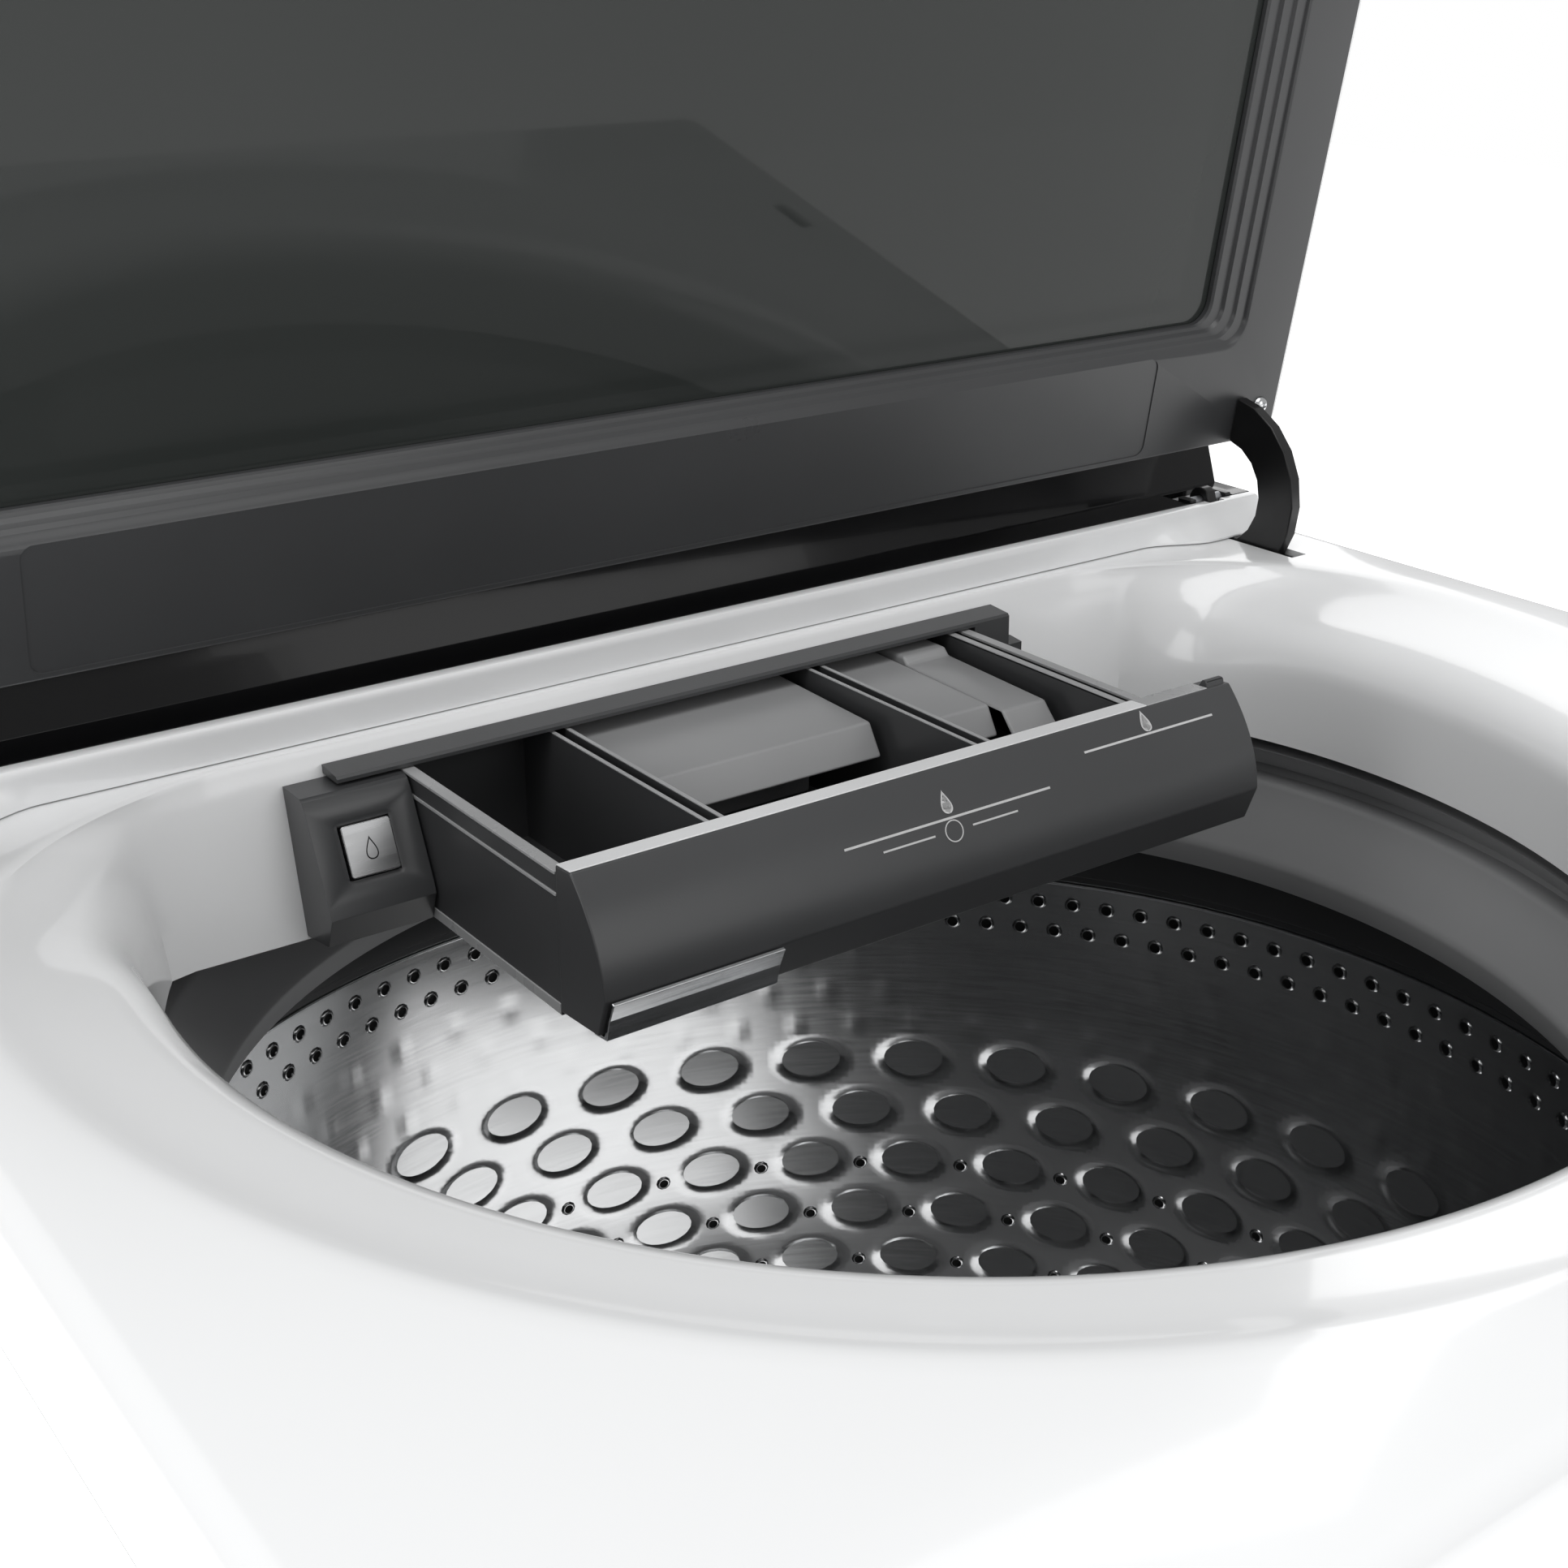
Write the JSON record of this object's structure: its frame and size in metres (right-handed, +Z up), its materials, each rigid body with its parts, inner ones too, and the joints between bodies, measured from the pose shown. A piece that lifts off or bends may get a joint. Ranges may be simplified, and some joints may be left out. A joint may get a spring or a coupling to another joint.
{
  "type": "top load washing machine",
  "caption": "Free-standing top-load washer: white cabinet, raised rear console, glass lid on curved arms, pull-out detergent drawer, faucet button and perforated steel basket.",
  "frame": {"origin": "on the floor under the drum's axis, the middle of the cabinet's footprint", "axes": "+Z up along the drum's axis, +X to the user's right, +Y to the rear, so the front faces -Y"},
  "size_m": [0.708, 0.712, 1.4883],
  "materials": {
    "white_enamel": "gloss white",
    "white_plastic": "gloss white",
    "dark_grey_plastic": "satin dark grey",
    "light_grey_plastic": "satin mid grey",
    "black_plastic": "gloss black",
    "rubber": "matt",
    "stainless": "polished",
    "zinc_steel": "zinc plated",
    "cast_aluminium": "cast",
    "chrome_trim": "bright",
    "tinted_glass": "tinted, polished",
    "white_resin": "moulded"
  },
  "bodies": {
    "cabinet": {"cabinet_shell": "white_enamel", "rear_panel": "zinc_steel", "base_frame": "zinc_steel", "foot_front_left": "rubber", "foot_front_right": "rubber", "foot_rear_left": "rubber", "foot_rear_right": "rubber", "top_deck": "white_plastic", "console_strip": "white_plastic", "console_fascia": "black_plastic", "console_housing": "white_plastic", "control_board": "white_resin", "inlet_valve": "white_resin", "drain_outlet": "black_plastic", "cord_gland": "black_plastic", "lid_lock": "black_plastic", "dispenser_housing": "light_grey_plastic", "dispenser_bezel": "dark_grey_plastic", "faucet_block": "dark_grey_plastic", "suspension_rod_front_left": "zinc_steel", "suspension_rod_front_right": "zinc_steel", "suspension_rod_rear_left": "zinc_steel", "suspension_rod_rear_right": "zinc_steel", "suspension_spring_front_left": "zinc_steel", "suspension_spring_front_right": "zinc_steel", "suspension_spring_rear_left": "zinc_steel", "suspension_spring_rear_right": "zinc_steel"},
    "lid": {"lid_outer_frame": "white_plastic", "lid_inner_frame": "dark_grey_plastic", "lid_glass": "tinted_glass", "hinge_arm_left": "black_plastic", "hinge_arm_right": "black_plastic", "lid_screw_left": "chrome_trim", "lid_screw_right": "chrome_trim", "lid_strike": "zinc_steel"},
    "drawer": {"drawer_body": "dark_grey_plastic", "drawer_front": "dark_grey_plastic", "drawer_grip": "chrome_trim", "detergent_insert": "light_grey_plastic", "softener_insert": "light_grey_plastic"},
    "release_tab": {"release_tab": "light_grey_plastic"},
    "faucet_button": {"faucet_button": "chrome_trim"},
    "tub": {"outer_tub": "white_resin", "tub_ring": "dark_grey_plastic", "tub_bearing": "stainless", "gearcase": "zinc_steel", "motor_stator": "zinc_steel", "pump": "black_plastic", "drive_belt": "rubber", "drain_hose": "rubber"},
    "basket": {"basket": "stainless", "balance_ring": "dark_grey_plastic", "basket_hub": "zinc_steel"},
    "wash_plate": {"wash_plate": "light_grey_plastic", "drive_shaft": "zinc_steel", "driven_pulley": "cast_aluminium"},
    "motor_rotor": {"motor_rotor": "zinc_steel"},
    "cycle_knob": {"cycle_knob": "chrome_trim"},
    "power_button": {"power_button": "chrome_trim"},
    "start_button": {"start_button": "chrome_trim"}
  },
  "joints": [
    {"name": "lid_hinge", "type": "hinge", "parent": "cabinet", "child": "lid", "pos_m": [0, 0.166, 0.9785], "axis": [1, 0, 0], "range_deg": [0, 81.3]},
    {"name": "drawer_slide", "type": "slide", "parent": "cabinet", "child": "drawer", "axis": [0, 1, 0], "range_m": [0, 0.108]},
    {"name": "release_tab_press", "type": "slide", "parent": "drawer", "child": "release_tab", "axis": [0, 0, -1], "range_m": [0, 0.002], "stiffness_N_per_m": 400},
    {"name": "faucet_press", "type": "slide", "parent": "cabinet", "child": "faucet_button", "axis": [0, 0.9155, -0.4023], "range_m": [0, 0.002], "stiffness_N_per_m": 400},
    {"name": "tub_bounce", "type": "slide", "parent": "cabinet", "child": "tub", "axis": [0, 0, 1], "range_m": [-0.02, 0.004], "stiffness_N_per_m": 9000, "springref_m": 0.05, "deforming": ["suspension_spring_front_left", "suspension_spring_front_right", "suspension_spring_rear_left", "suspension_spring_rear_right"]},
    {"name": "basket_spin", "type": "hinge", "parent": "tub", "child": "basket", "pos_m": [0, 0, 0.55], "axis": [0, 0, 1], "continuous": true},
    {"name": "wash_plate_spin", "type": "hinge", "parent": "tub", "child": "wash_plate", "pos_m": [0, 0, 0.35], "axis": [0, 0, 1], "continuous": true},
    {"name": "motor_spin", "type": "hinge", "parent": "tub", "child": "motor_rotor", "pos_m": [0.205, 0, 0.2], "axis": [0, 0, 1], "continuous": true},
    {"name": "cycle_knob_turn", "type": "hinge", "parent": "cabinet", "child": "cycle_knob", "pos_m": [0.1715, 0.20002, 1.025], "axis": [0, -0.9421, 0.3354], "continuous": true},
    {"name": "power_press", "type": "slide", "parent": "cabinet", "child": "power_button", "axis": [0, 0.9421, -0.3354], "range_m": [0, 0.002], "stiffness_N_per_m": 400},
    {"name": "start_press", "type": "slide", "parent": "cabinet", "child": "start_button", "axis": [0, 0.9421, -0.3354], "range_m": [0, 0.002], "stiffness_N_per_m": 400}
  ],
  "couplings": [
    {"joint": "motor_spin", "follows": "wash_plate_spin", "ratio": 5.046}
  ]
}
